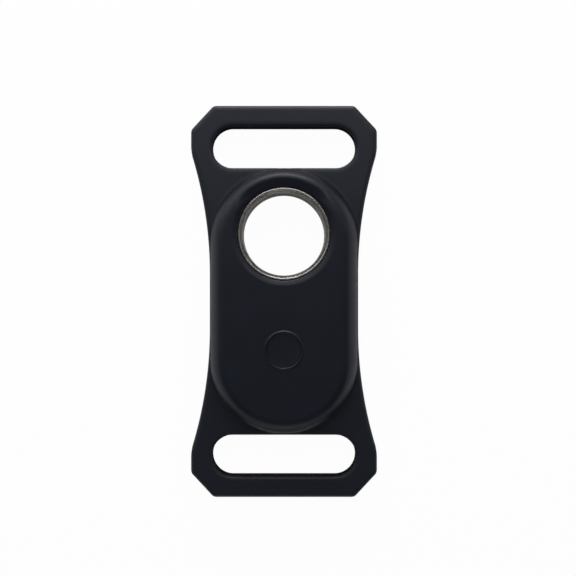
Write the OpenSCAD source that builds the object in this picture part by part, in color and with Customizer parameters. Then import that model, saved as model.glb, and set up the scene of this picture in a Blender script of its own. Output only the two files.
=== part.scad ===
/* [Tracker tag] */
// From the ring's collar to the side of the tag
ring_room = 4.35; // [4.15:0.05:5]
// From the coin cell to the side of the tag
cell_room = 4.4; // [4.2:0.05:5]
// From the battery bay to the end of the tag
tail_room = 1.9; // [1.7:0.05:2.5]
// Rounding of the tag's front and back edges
tag_edge = 1.8; // [1.5:0.1:2.2]
// Wall of the front cover and of both covers' sides
cover_wall = 1; // [0.8:0.05:1.1]
// Floor of the rear cover
floor_wall = 0.9; // [0.8:0.05:1]
// Height of the seam between the covers, above the tag's back
seam_height = 3.7; // [3.4:0.1:4.2]

/* [Ring hole] */
// Bore of the metal ring
ring_bore = 17.2; // [15:0.1:19]
// Wall of the ring's tube
ring_wall = 0.4; // [0.3:0.05:0.45]
// How far the ring's lip stands out past its tube
ring_lip = 0.6; // [0.4:0.02:0.7]
// Height of the lip
lip_height = 0.45; // [0.4:0.05:0.6]
// Rounding of the lip's outer edge
lip_round = 0.24; // [0.15:0.01:0.3]
// Width of the flare at the mouth of the ring's bore
mouth_width = 0.62; // [0.4:0.02:0.7]
// Depth of that flare
mouth_depth = 0.9; // [0.6:0.05:1.2]
// How far the lip lies below the tag's front
lip_inset = 0.15; // [0.05:0.05:0.3]
// Wall of the collars that carry the ring
collar_wall = 0.4; // [0.35:0.05:0.6]

/* [Sleeve] */
// Play between the tag and its pocket
pocket_gap = 0.08; // [0.05:0.01:0.15]
// Wall beside the tag, at the base of the dome
side_wall = 1; // [0.8:0.05:1.6]
// How much thicker the dome's wall is at its ends
end_extra = 0.66; // [0.3:0.02:0.9]
// How far the dome sits toward the ring's end
dome_shift = 0.16; // [0:0.02:0.3]
// Wall in front of the tag
front_wall = 1.22; // [1.1:0.02:1.8]
// Thickness of the lip behind the tag
back_lip = 0.9; // [0.7:0.05:1.4]
// How far that lip reaches in under the tag
lip_overlap = 1.6; // [1.2:0.1:2]
// Width of the rounding of the dome's upper edge
dome_round_width = 2.8; // [2:0.1:3]
// Depth of that rounding
dome_round_depth = 5; // [3:0.1:5.6]
// Draft of the dome's side, in degrees
dome_draft = 3; // [1:0.5:5]
// Play round the ring's lip in the dome's round hole
hole_margin = 0.15; // [0.1:0.01:0.4]
// Width of the rounding of that hole
hole_round_width = 1; // [0.7:0.05:1.6]
// Depth of the rounding of that hole
hole_round_depth = 0.8; // [0.6:0.05:1.05]

/* [Frame] */
// Width of the frame at its ends
frame_width = 39.5; // [39:0.5:44]
// Thickness of the flat frame
frame_thickness = 4; // [3.4:0.1:4.6]
// How far the frame's waist stands out past the dome's base
waist_margin = 0.19; // [0:0.01:1]
// Radius of the hollow curve of its long sides
side_radius = 90; // [75:5:110]
// Length of the straight stretch at the waist
waist_length = 8; // [6:1:12]
// Corner cut, measured across the frame
corner_cut_x = 4.8; // [3.6:0.2:5.4]
// Corner cut, measured along the frame
corner_cut_y = 5.15; // [3.6:0.05:5.6]
// Rounding of the front edges
front_edge = 0.95; // [0.5:0.05:1.2]
// Rounding of the back edges
back_edge = 0.4; // [0.2:0.05:0.6]

/* [Strap slots] */
// Length of each slot
slot_length = 30.4; // [26:0.2:31]
// Height of each slot
slot_height = 8.7; // [8:0.05:11]
// Wall between the pocket and a slot
slot_wall = 2.02; // [1.8:0.02:3]
// Height of the bar outside each slot
end_bar = 4.55; // [4:0.05:6]
// Rounding of the slots' front edges
slot_edge = 1.1; // [0.6:0.1:1.4]

/* [Push button] */
// Distance of the button's axis from the axis of the coin cell
button_shift = 2.86; // [2.5:0.02:3.2]
// Diameter of the moving pad of the sleeve
pad_width = 7; // [6.4:0.1:7.4]
// Play round that pad
pad_gap = 0.06; // [0.04:0.01:0.1]
// Depth of the pad's finger dish
pad_dish = 0.06; // [0.02:0.02:0.2]
// Width of the raised line round the pad
line_width = 0.45; // [0.4:0.05:0.7]
// Height of that line
line_height = 0.2; // [0.1:0.02:0.3]
// Play between the pad and that line
line_margin = 0.02; // [0:0.01:0.1]
// Diameter of the button cap under the pad
cap_width = 9.4; // [9.2:0.1:9.8]
// Travel of the button
button_travel = 0.3; // [0.2:0.02:0.34]
// Play of everything that slides in a bore
slide_gap = 0.05; // [0.03:0.01:0.08]

/* [Battery] */
// Diameter of the coin cell
cell_width = 20; // [18:0.1:22]
// Thickness of the coin cell
cell_depth = 3.2; // [2.4:0.05:3.6]
// Height of the space between the cell and the board
contact_room = 0.8; // [0.7:0.05:1.2]
// Play between the cell and the rim of its tray
tray_play = 0.15; // [0.1:0.01:0.2]
// Wall of the tray's rim and of its plug
tray_wall = 0.7; // [0.6:0.05:0.75]
// How far the tray's flange stands out past its plug
tray_flange = 0.45; // [0.35:0.05:0.5]
// Thickness of that flange
flange_depth = 0.45; // [0.4:0.05:0.5]
// Thickness of the tray under the cell
tray_floor = 1.1; // [1.05:0.05:1.25]
// Wall of the battery bay in the rear cover
bay_wall = 0.6; // [0.5:0.05:0.65]

/* [Board] */
// Thickness of the circuit board
board_depth = 0.8; // [0.6:0.05:1]
// Play between the board and the covers' wall
board_gap = 0.5; // [0.4:0.05:0.8]
// Height of the space between the board and the front cover
front_space = 1.1; // [1:0.02:1.4]
// Width of the switch under the button
switch_width = 4.4; // [4:0.1:5]
// From the reader coil to the posts that hold the board
coil_margin = 1.45; // [1.2:0.05:1.8]
// Thickness of the coil film, of its tracks and of the ferrite, each
film_depth = 0.1; // [0.08:0.01:0.1]

/* [Sounder and antennas] */
// Width of the sounder, from the ring to the battery bay
sounder_width = 4.8; // [4.2:0.05:5.5]
// Length of the sounder
sounder_length = 12; // [10:0.2:14]
// Width of the antenna carrier round the ring
antenna_width = 1; // [0.9:0.05:1.5]

/* [Hidden] */
$fn = 96;

// Overrun of every cut, steps of every drawn arc and how far a flared cut passes the face it rounds
overrun = 1;
arc_steps = 6;
flare_angle = 80;
flare_lift = 0.03;
half_turn = 180;
quarter_turn = 90;

// The ring and its collars
bore_r = ring_bore / 2;
tube_r = bore_r + ring_wall;
lip_r = tube_r + ring_lip;
ring_fit = 0.03;
collar_r = lip_r + ring_fit + collar_wall;

// The battery, its tray and its bay
cell_r = cell_width / 2;
plug_r = cell_r + tray_play + tray_wall;
bay_r = plug_r + slide_gap;
bay_outer_r = bay_r + bay_wall;
flange_r = plug_r + tray_flange;
rim_height_share = 0.5;
rim_arc = 60;
rim_places = [0, 180, 270];
notch_r = 1.3;
can_wall = 0.25;
can_lip = 1;
cap_step = 0.2;
contact_sheet = 0.15;
contact_gap = 0.03;

// The tag: as wide as its ring and its cell need, and as long and as thick as what it holds in a row
part_gap = 0.25;
carrier_play = 0.1;
tag_r = max(collar_r + ring_room, cell_r + cell_room);
ring_inset = cover_wall + carrier_play + antenna_width + slide_gap + collar_r;
tag_length = ring_inset + collar_r + sounder_width + 2 * part_gap + 2 * bay_outer_r + tail_room;
tag_depth = tray_floor + cell_depth + contact_room + board_depth + front_space + cover_wall;
tag_width = 2 * tag_r;
tag_run = tag_length / 2 - tag_r;
ring_offset = tag_length / 2 - ring_inset;
cell_y = tail_room + bay_outer_r - tag_length / 2;
button_y = cell_y + button_shift;
tag_back = back_lip;
tag_front = tag_back + tag_depth;
seam_z = tag_back + seam_height;
floor_z = tag_back + floor_wall;
ceiling_z = tag_front - cover_wall;
lip_front = tag_front - lip_inset;
cell_back = tag_back + tray_floor;
cell_front = cell_back + cell_depth;
room_r = tag_r - cover_wall;
room_edge = tag_edge - cover_wall;

// The sleeve: dome, frame, slots and hole
pocket_r = tag_r + pocket_gap;
pocket_front = tag_front + pocket_gap;
dome_front = pocket_front + front_wall;
dome_r = pocket_r + side_wall;
dome_run = tag_run + end_extra;
dome_lean = (dome_front - dome_round_depth - frame_thickness) * tan(dome_draft);
opening_r = pocket_r - lip_overlap;
waist_width = 2 * (dome_r + waist_margin);
slot_r = slot_height / 2;
slot_run = slot_length / 2 - slot_r;
slot_y = tag_run + pocket_r + slot_wall + slot_r;
frame_length = 2 * (slot_y + slot_r + end_bar);
hole_r = lip_r + hole_margin;
corner_norm = norm([corner_cut_x, corner_cut_y]);
corner_along = frame_length / 2 - corner_cut_y;
corner_reach = (corner_cut_y * frame_width / 2 + corner_cut_x * corner_along) / corner_norm;

// The button and the pad in front of it
pad_r = pad_width / 2;
line_r = pad_r + pad_gap + line_margin + line_width / 2;
membrane = 0.36;
membrane_reach = 0.75;
pad_seat = 0.02;
membrane_front = tag_front + pad_seat + membrane;
cap_r = cap_width / 2;
cap_flange = 0.6;
cap_flange_depth = 0.35;
cap_back = ceiling_z - slide_gap - cap_flange_depth;
seal_depth = 0.4;
seal_fit = 0.02;
stem_r = 1.2;

// The seam's gasket
gasket_inset = 0.3;
gasket_width = 0.4;
gasket_depth = 0.5;

// The board, its posts and its contact springs
board_front = ceiling_z - front_space;
board_back = board_front - board_depth;
board_r = room_r - board_gap;
board_hole_r = collar_r + board_gap / 2;
post_r = 0.95;
post_inset = 1.3;
pin_r = 0.45;
pin_fit = 0.05;
post_tail_angle = 58;
seat_r = board_r - post_inset;
horn_y = ring_offset + 2 * post_r;
bay_play = 0.3;
bay_front = board_back - bay_play;
leaf_reach = 3.4;
leaf_width = 1.6;
leaf_tip = 0.8;

// The switch and the reader coil
switch_depth = 0.3;
switch_floor = switch_depth / 4;
dome_foot = 1.7;
dome_sheet = 0.08;
dome_height = switch_floor + button_travel + dome_sheet;
stem_back = board_front + dome_height + contact_gap;
coil_radius = seat_r - post_r - coil_margin;
coil_inner_r = cap_r + cap_flange + cap_flange_depth;

// The sounder, and the chips on the board's front
sounder_from = cell_y + bay_outer_r + part_gap;
sounder_wall = 0.5;
sounder_lift = 0.6;
sounder_depth = board_back - floor_z - sounder_lift;
spring_width = 1;
spring_reach = 1.4;
shield_from = button_y + coil_radius + part_gap;
shield_to = ring_offset - board_hole_r - part_gap;
shield_length = 10.6;
shield_height = 0.85;
shield_sheet = 0.15;
shield_vent_r = 0.3;
chip_y = (shield_from + shield_to) / 2;
chip_width = shield_to - shield_from - 2 * shield_sheet - 2 * part_gap;
radio_size = [4.2, chip_width, 0.6];
bluetooth_size = [3.4, chip_width, 0.55];
power_size = [2.6, 2.2, 0.5];
crystal_size = [1.6, 1.2, 0.45];
passive_size = [0.5, 1, 0.35];
tail_y = -tag_run - board_r + power_size.y;
crystal_x = (power_size.x + crystal_size.x) / 2 + part_gap;

// The antennas at the ring's end
carrier_r = collar_r + slide_gap + antenna_width;
carrier_from = 18;
carrier_back = floor_z + room_edge + carrier_play;
carrier_front = ceiling_z - room_edge - carrier_play;
strip_depth = 0.15;

// Points of an arc, from one angle to another
function arc(x, z, rx, rz, from, to) = [for (i = [0:arc_steps])
    let (a = from + (to - from) * i / arc_steps) [x + rx * cos(a), z + rz * sin(a)]];

function turned_over(points) = [for (i = [len(points) - 1:-1:0]) [points[i].x, -points[i].y]];

function mirrored(points) = [for (i = [len(points) - 1:-1:0]) [-points[i].x, points[i].y]];

// Side of a cut that widens in a rounded edge, wide and deep, where it comes out of a face at height z
function flare(r, wide, deep, z) = concat(
    [for (i = [0:arc_steps]) let (a = flare_angle * i / arc_steps)
        [r + wide * (1 - cos(a)), z - deep + flare_lift + deep * sin(a)]],
    [[r + wide * (1 - cos(flare_angle)), z + overrun]]);

// Solid with round ends and a straight run along Y, from the side of its profile, bottom to top
module swept(side, run) {
    last = len(side) - 1;
    for (turn = [0, half_turn])
        rotate(turn)
            translate([0, run, 0])
                rotate_extrude(angle = half_turn)
                    polygon(concat([[0, side[0].y]], side, [[0, side[last].y]]));
    rotate([quarter_turn, 0, 0])
        linear_extrude(2 * run, center = true)
            polygon(concat(side, mirrored(side)));
}

// Round solid on the Z axis, from the side of its profile
module turned(side) {
    last = len(side) - 1;
    rotate_extrude()
        polygon(concat([[0, side[0].y]], side, [[0, side[last].y]]));
}

// Flat ring on the Z axis, or a stretch of one
module band(inner, outer, from, to, turn = 360) {
    rotate_extrude(angle = turn)
        translate([inner, from])
            square([outer - inner, to - from]);
}

// Long bar along Y with the frame's rounded edges
module edged_bar(half_width) {
    front_centre = frame_thickness - front_edge;
    side = concat(arc(half_width - back_edge, back_edge, back_edge, back_edge, -quarter_turn, 0),
        arc(half_width - front_edge, front_centre, front_edge, front_edge, 0, quarter_turn));
    rotate([quarter_turn, 0, 0])
        linear_extrude(2 * frame_length, center = true)
            polygon(concat(side, mirrored(side)));
}

// Plate with cut corners and hollow sides, every edge rounded
module frame_plate() {
    corner = atan2(corner_cut_x, corner_cut_y);
    cut_side = concat(turned_over(flare(side_radius, back_edge, back_edge, 0)),
        flare(side_radius, front_edge, front_edge, frame_thickness));
    difference() {
        intersection() {
            edged_bar(frame_width / 2);
            rotate(quarter_turn)
                edged_bar(frame_length / 2);
            rotate(corner)
                edged_bar(corner_reach);
            rotate(-corner)
                edged_bar(corner_reach);
        }
        for (hand = [-1, 1])
            translate([hand * (waist_width / 2 + side_radius), 0, 0])
                swept(cut_side, waist_length / 2);
    }
}

module slot_cuts(side) {
    for (hand = [-1, 1])
        translate([0, hand * slot_y, 0])
            rotate(quarter_turn)
                swept(side, slot_run);
}

module dome() {
    top_r = dome_r - dome_lean - dome_round_width;
    side = concat([[dome_r - back_edge, back_edge], [dome_r, 2 * back_edge], [dome_r, frame_thickness]],
        arc(top_r, dome_front - dome_round_depth, dome_round_width, dome_round_depth, 0, quarter_turn));
    translate([0, dome_shift, 0])
        swept(side, dome_run);
}

// Raised line round the press pad
module pad_line() {
    profile = concat(arc(line_r, dome_front, line_width / 2, line_height, 0, half_turn),
        [[line_r - line_width / 2, dome_front - front_wall / 2],
            [line_r + line_width / 2, dome_front - front_wall / 2]]);
    rotate_extrude()
        polygon(profile);
}

// Silicone sleeve: frame, domed pocket and strap slots in one moulding
module holder_sleeve() {
    hug = tag_edge + pocket_gap;
    pocket = concat(arc(tag_r - tag_edge, tag_back + tag_edge, hug, hug, -quarter_turn, 0),
        arc(tag_r - tag_edge, tag_front - tag_edge, hug, hug, 0, quarter_turn));
    color("#1f2024")
        difference() {
            union() {
                difference() {
                    frame_plate();
                    slot_cuts(concat(turned_over(flare(slot_r, back_edge, back_edge, 0)),
                        flare(slot_r, slot_edge, slot_edge, frame_thickness)));
                }
                dome();
                translate([0, button_y, 0])
                    pad_line();
            }
            slot_cuts([[slot_r, -overrun], [slot_r, dome_front + overrun]]);
            swept(pocket, tag_run);
            swept(concat(turned_over(flare(opening_r, back_edge, back_edge, 0)),
                [[opening_r, tag_back + tag_edge]]), tag_run);
            translate([0, ring_offset, 0])
                turned(concat([[hole_r, tag_front - overrun]],
                    flare(hole_r, hole_round_width, hole_round_depth, dome_front)));
            translate([0, button_y, 0]) {
                cylinder(r = pad_r + pad_gap, h = dome_front + overrun);
                cylinder(r = pad_r + membrane_reach + pad_gap, h = membrane_front + slide_gap);
            }
        }
}

// Ringed disc of the sleeve in front of the button, with its membrane
module press_pad() {
    foot_r = pad_r + membrane_reach;
    foot_z = tag_front + pad_seat;
    top = [for (i = [arc_steps:-1:0]) let (share = i / arc_steps)
        [pad_r * share, dome_front - pad_dish * (1 - share * share)]];
    color("#222327")
        translate([0, button_y, 0])
            rotate_extrude()
                polygon(concat([[0, foot_z], [foot_r, foot_z], [foot_r, membrane_front],
                    [pad_r, membrane_front]], top));
}

// Front cover of the tag, with the ring's collar and the board's posts
module tag_front_cover() {
    outer = concat([[tag_r, seam_z]],
        arc(tag_r - tag_edge, tag_front - tag_edge, tag_edge, tag_edge, 0, quarter_turn));
    room = concat([[room_r, seam_z - overrun]],
        arc(room_r - room_edge, ceiling_z - room_edge, room_edge, room_edge, 0, quarter_turn));
    color("#18191b")
        difference() {
            union() {
                difference() {
                    swept(outer, tag_run);
                    swept(room, tag_run);
                }
                translate([0, ring_offset, seam_z])
                    cylinder(r = collar_r, h = ceiling_z + cover_wall / 2 - seam_z);
                posts(post_r, board_front, ceiling_z + cover_wall / 2);
                posts(pin_r, board_back + pin_fit, ceiling_z);
            }
            translate([0, ring_offset, 0]) {
                cylinder(r = tube_r + ring_fit, h = tag_front + overrun);
                translate([0, 0, lip_front - lip_height - ring_fit])
                    cylinder(r = lip_r + ring_fit, h = tag_front);
            }
            translate([0, button_y, 0])
                cylinder(r = cap_r + slide_gap, h = tag_front + overrun);
        }
}

// Upright pins or posts at the board's six fixing points
module posts(r, from, to) {
    tail = [seat_r * cos(post_tail_angle), -tag_run - seat_r * sin(post_tail_angle)];
    places = [[seat_r, ring_offset - post_inset], [seat_r, button_y + post_inset], tail];
    for (place = places, hand = [-1, 1])
        translate([hand * place.x, place.y, from])
            cylinder(r = r, h = to - from);
}

// Rear cover of the tag, with the battery bay and the ring's collar
module tag_rear_cover() {
    outer = concat(arc(tag_r - tag_edge, tag_back + tag_edge, tag_edge, tag_edge, -quarter_turn, 0),
        [[tag_r, seam_z]]);
    room = concat(arc(room_r - room_edge, floor_z + room_edge, room_edge, room_edge, -quarter_turn, 0),
        [[room_r, seam_z + overrun]]);
    color("#17181a")
        difference() {
            union() {
                difference() {
                    swept(outer, tag_run);
                    swept(room, tag_run);
                }
                translate([0, ring_offset, floor_z - floor_wall / 2])
                    cylinder(r = collar_r, h = seam_z - floor_z + floor_wall / 2);
                translate([0, cell_y, floor_z - floor_wall / 2])
                    cylinder(r = bay_outer_r, h = bay_front - floor_z + floor_wall / 2);
            }
            swept_ring(room_r + gasket_inset, room_r + gasket_inset + gasket_width,
                seam_z - gasket_depth, seam_z + overrun);
            translate([0, ring_offset, 0])
                cylinder(r = tube_r + ring_fit, h = seam_z + overrun);
            translate([0, cell_y, 0]) {
                cylinder(r = bay_r, h = board_front);
                cylinder(r = flange_r + slide_gap, h = tag_back + flange_depth + slide_gap);
                translate([0, flange_r, 0])
                    cylinder(r = notch_r, h = tag_back + flange_depth + slide_gap);
            }
        }
}

// Closed loop of rectangular section that follows the tag's outline
module swept_ring(inner, outer, from, to) {
    difference() {
        swept([[outer, from], [outer, to]], tag_run);
        swept([[inner, from - overrun], [inner, to + overrun]], tag_run);
    }
}

module housing_gasket() {
    color("#5a5d62")
        swept_ring(room_r + gasket_inset + seal_fit, room_r + gasket_inset + gasket_width - seal_fit,
            seam_z - gasket_depth + seal_fit, seam_z);
}

// Metal ring that lines the through hole, with a flared mouth and a rounded lip in front
module ring_liner() {
    profile = concat(
        [[bore_r + ring_wall / 2, tag_back], [tube_r, tag_back], [tube_r, lip_front - lip_height],
            [lip_r, lip_front - lip_height]],
        arc(lip_r - lip_round, lip_front - lip_round, lip_round, lip_round, 0, quarter_turn),
        arc(bore_r + mouth_width, lip_front - mouth_depth, mouth_width, mouth_depth,
            quarter_turn, half_turn),
        [[bore_r, tag_back + ring_wall / 2]]);
    color("#8f8a84")
        translate([0, ring_offset, 0])
            rotate_extrude()
                polygon(profile);
}

// Button cap with its retaining flange and the stem over the switch
module button_cap() {
    groove_z = (cap_back + cap_flange_depth + tag_front) / 2;
    color("#1b1c1f")
        translate([0, button_y, 0])
            difference() {
                union() {
                    translate([0, 0, cap_back])
                        cylinder(r = cap_r, h = tag_front - cap_back);
                    translate([0, 0, cap_back])
                        cylinder(r = cap_r + cap_flange, h = cap_flange_depth);
                    translate([0, 0, stem_back])
                        cylinder(r = stem_r, h = tag_front - cap_flange_depth - stem_back);
                }
                band(cap_r - seal_depth, cap_r + overrun, groove_z - seal_depth / 2,
                    groove_z + seal_depth / 2);
            }
}

module button_seal() {
    groove_z = (cap_back + cap_flange_depth + tag_front) / 2;
    color("#6a3b34")
        translate([0, button_y, 0])
            band(cap_r - seal_depth + seal_fit, cap_r + seal_fit, groove_z - seal_depth / 2 + seal_fit,
                groove_z + seal_depth / 2 - seal_fit);
}

// Round tray that closes the battery bay and carries the cell
module battery_tray() {
    seal_z = (flange_depth + tray_floor) / 2;
    color("#1a1b1d")
        translate([0, cell_y, tag_back])
            difference() {
                union() {
                    cylinder(r = flange_r, h = flange_depth);
                    cylinder(r = plug_r, h = tray_floor);
                    for (place = rim_places)
                        rotate(place - rim_arc / 2)
                            band(plug_r - tray_wall, plug_r - slide_gap, tray_floor / 2,
                                tray_floor + cell_depth * rim_height_share, rim_arc);
                }
                band(plug_r - seal_depth, plug_r + overrun, seal_z - seal_depth / 2,
                    seal_z + seal_depth / 2);
            }
}

module tray_seal() {
    seal_z = tag_back + (flange_depth + tray_floor) / 2;
    color("#6a3b34")
        translate([0, cell_y, 0])
            band(plug_r - seal_depth + seal_fit, plug_r + seal_fit, seal_z - seal_depth / 2 + seal_fit,
                seal_z + seal_depth / 2 - seal_fit);
}

// Coin cell: can with a turned-in lip
module cell_can() {
    color("#b9bcc0")
        translate([0, cell_y, cell_back])
            difference() {
                cylinder(r = cell_r, h = cell_depth - cap_step);
                translate([0, 0, can_wall])
                    cylinder(r = cell_r - can_wall, h = cell_depth - cap_step - 2 * can_wall);
                translate([0, 0, can_wall])
                    cylinder(r = cell_r - can_lip, h = cell_depth);
            }
}

module cell_gasket() {
    color("#d8d5cc")
        translate([0, cell_y, cell_back + can_wall]) {
            band(cell_r - can_lip - can_wall, cell_r - can_wall, 0, cell_depth - cap_step - 2 * can_wall);
            band(cell_r - can_lip - can_wall, cell_r - can_lip, 0, cell_depth - cap_step - can_wall);
        }
}

module cell_cap() {
    cap_side = cell_r - can_lip - can_wall;
    color("#c6c8cb")
        translate([0, cell_y, cell_back])
            difference() {
                translate([0, 0, 2 * can_wall])
                    cylinder(r = cap_side, h = cell_depth - 2 * can_wall);
                translate([0, 0, can_wall])
                    cylinder(r = cap_side - can_wall, h = cell_depth - 2 * can_wall);
            }
}

// Electrodes and separator inside the cell
module cell_stack() {
    color("#4a4a4c")
        translate([0, cell_y, cell_back + can_wall])
            cylinder(r = cell_r - can_lip - 2 * can_wall, h = cell_depth - 2 * can_wall);
}

// Spring blade that touches the side of the can
module positive_contact() {
    blade_r = cell_r + contact_gap;
    blade_arc = 24;
    blade_back = tag_back + tray_floor + cell_depth * (1 - rim_height_share) / 2;
    color("#c9a860")
        translate([0, cell_y, 0])
            rotate(quarter_turn - blade_arc / 2) {
                band(blade_r, blade_r + contact_sheet, blade_back, board_back, blade_arc);
                band(blade_r, bay_outer_r, board_back - contact_sheet, board_back, blade_arc);
            }
}

// Pair of leaf springs that press on the cell's cap
module negative_contact() {
    tip_z = cell_front + contact_gap;
    root_z = board_back - contact_sheet;
    leaf = [[-leaf_reach, root_z], [leaf_tip, tip_z], [2 * leaf_tip, tip_z + contact_sheet],
        [2 * leaf_tip, tip_z + 2 * contact_sheet], [leaf_tip, tip_z + contact_sheet],
        [-leaf_reach, board_back]];
    color("#c9a860")
        translate([0, cell_y, 0]) {
            for (turn = [0, half_turn])
                rotate(turn) {
                    translate([0, leaf_width, 0])
                        rotate([quarter_turn, 0, 0])
                            linear_extrude(leaf_width)
                                polygon(leaf);
                    translate([-leaf_reach - leaf_tip, -leaf_width, root_z])
                        cube([2 * leaf_tip, 2 * leaf_width, contact_sheet]);
                }
            translate([-leaf_reach, -contact_sheet, root_z])
                cube([2 * leaf_reach, 2 * contact_sheet, contact_sheet]);
        }
}

// Circuit board with two horns beside the ring
module main_board() {
    color("#1f5d3a")
        difference() {
            swept([[board_r, board_back], [board_r, board_front]], tag_run);
            translate([0, ring_offset, 0])
                cylinder(r = board_hole_r, h = tag_front);
            translate([-tag_width / 2, horn_y, board_back - overrun])
                cube([tag_width, tag_length, board_depth + 2 * overrun]);
            posts(pin_r + pin_fit, board_back - overrun, board_front + overrun);
        }
}

// Square body of the switch, with the well that holds its snap dome
module switch_body() {
    color("#2c2e30")
        translate([0, button_y, board_front])
            difference() {
                translate([-switch_width / 2, -switch_width / 2, 0])
                    cube([switch_width, switch_width, switch_depth]);
                translate([0, 0, switch_floor])
                    cylinder(r = dome_foot + slide_gap, h = switch_depth);
            }
}

// Snap dome of the switch, pressed flat by the stem
module switch_dome() {
    rise = dome_height - switch_floor;
    inside = arc(0, switch_floor, dome_foot - dome_sheet, rise - dome_sheet, quarter_turn, 0);
    color("#c8c9ca")
        translate([0, button_y, board_front])
            rotate_extrude()
                polygon(concat(arc(0, switch_floor, dome_foot, rise, 0, quarter_turn), inside));
}

// Flat package on the board's front, by its centre and its three sizes
module package(x, y, size) {
    translate([x - size.x / 2, y - size.y / 2, board_front])
        cube(size);
}

module radio_chip() {
    color("#2a2b2d")
        package(-shield_length / 2, chip_y, radio_size);
}

module bluetooth_chip() {
    color("#2a2b2d")
        package(bluetooth_size.x, chip_y, bluetooth_size);
}

module power_chip() {
    color("#2a2b2d")
        package(0, tail_y, power_size);
}

module clock_crystals() {
    color("#a9abad")
        for (hand = [-1, 1])
            package(hand * crystal_x, tail_y, crystal_size);
}

// Small capacitors and resistors in an arc between the switch and the coil's edge
module board_passives() {
    count = 12;
    ring_share = 0.75;
    color("#8a6f55")
        for (i = [0:count - 1])
            translate([0, button_y, board_front])
                rotate(i * 360 / count)
                    translate([coil_radius * ring_share, -passive_size.y / 2, 0])
                        cube(passive_size);
}

// Thin metal can over the radio chip
module shield_can() {
    length = shield_length;
    width = shield_to - shield_from;
    color("#b4b6b8")
        translate([-length, shield_from, board_front])
            difference() {
                cube([length, width, shield_height]);
                translate([shield_sheet, shield_sheet, -shield_sheet])
                    cube([length - 2 * shield_sheet, width - 2 * shield_sheet, shield_height]);
                for (i = [1:4])
                    translate([length * i / 5, width / 2, 0])
                        cylinder(r = shield_vent_r, h = shield_height + overrun);
            }
}

// Sounder between the battery bay and the ring
module sounder_case() {
    width = sounder_width;
    wall = sounder_wall;
    color("#232427")
        translate([-sounder_length / 2, sounder_from, floor_z])
            difference() {
                cube([sounder_length, width, sounder_depth]);
                translate([wall, wall, -overrun])
                    cube([sounder_length - 2 * wall, width - 2 * wall, sounder_depth + overrun - wall]);
                translate([wall / 2, wall / 2, -overrun])
                    cube([sounder_length - wall, width - wall, overrun + wall]);
            }
}

module sounder_diaphragm() {
    width = sounder_width;
    play = sounder_wall / 2 + slide_gap;
    color("#c7a04c")
        translate([-sounder_length / 2 + play, sounder_from + play, floor_z + sounder_wall - contact_sheet])
            cube([sounder_length - 2 * play, width - 2 * play, contact_sheet]);
}

module sounder_contacts() {
    from = floor_z + sounder_depth;
    spring = [[-spring_reach, from], [0, from], [spring_reach, board_back - contact_sheet],
        [spring_reach, board_back], [spring_reach - contact_sheet, board_back],
        [-contact_sheet, from + contact_sheet], [-spring_reach, from + contact_sheet]];
    color("#c9a860")
        for (hand = [-1, 1])
            translate([hand * sounder_length / 4, sounder_from + (sounder_width + spring_width) / 2, 0])
                rotate([quarter_turn, 0, 0])
                    linear_extrude(spring_width)
                        polygon(spring);
}

// Plastic arch round the ring that carries both antennas
module antenna_carrier() {
    color("#3a3c40")
        translate([0, ring_offset, 0])
            rotate(carrier_from)
                band(collar_r + slide_gap, carrier_r, carrier_back, carrier_front,
                    half_turn - 2 * carrier_from);
}

module wideband_antenna() {
    patch_arc = 30;
    patch_step = 45;
    color("#c9a860")
        translate([0, ring_offset, 0])
            for (i = [-1:1])
                rotate(quarter_turn + i * patch_step - patch_arc / 2)
                    band(collar_r + 2 * slide_gap, carrier_r - slide_gap, carrier_back - strip_depth,
                        carrier_back, patch_arc);
}

// Strip with a meander, cut by slots from alternate sides
module bluetooth_antenna() {
    strip_arc = 120;
    slot_count = 9;
    strip_from = collar_r + 2 * slide_gap;
    strip_to = carrier_r - slide_gap;
    cut_share = 0.6;
    cut = (strip_to - strip_from) * cut_share;
    color("#c9a860")
        translate([0, ring_offset, 0])
            difference() {
                rotate(quarter_turn - strip_arc / 2)
                    band(strip_from, strip_to, carrier_front, carrier_front + strip_depth, strip_arc);
                for (i = [1:slot_count])
                    rotate(quarter_turn - strip_arc / 2 + strip_arc * i / (slot_count + 1))
                        translate([(i % 2 == 0 ? strip_from : strip_to) - cut, 0, carrier_front - overrun])
                            cube([2 * cut, strip_depth, strip_depth + 2 * overrun]);
            }
}

// Flat reader coil on a film under the front cover, round the button
module reader_coil() {
    turns = 4;
    track_share = 0.5;
    pitch = (coil_radius - coil_inner_r) / (turns + track_share);
    color("#b5763d")
        translate([0, button_y, 0]) {
            band(coil_inner_r, coil_radius, ceiling_z - film_depth, ceiling_z);
            for (i = [0:turns - 1])
                band(coil_inner_r + pitch * (i + track_share), coil_inner_r + pitch * (i + 1),
                    ceiling_z - 2 * film_depth, ceiling_z - film_depth);
        }
}

module ferrite_sheet() {
    color("#3b3a3c")
        translate([0, button_y, 0])
            band(coil_inner_r, coil_radius, ceiling_z - 4 * film_depth, ceiling_z - 2 * film_depth);
}

holder_sleeve();
press_pad();
tag_front_cover();
tag_rear_cover();
housing_gasket();
ring_liner();
button_cap();
button_seal();
battery_tray();
tray_seal();
cell_can();
cell_cap();
cell_gasket();
cell_stack();
positive_contact();
negative_contact();
main_board();
switch_body();
switch_dome();
radio_chip();
bluetooth_chip();
power_chip();
clock_crystals();
board_passives();
shield_can();
sounder_case();
sounder_diaphragm();
sounder_contacts();
antenna_carrier();
wideband_antenna();
bluetooth_antenna();
reader_coil();
ferrite_sheet();
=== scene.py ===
import math

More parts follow.
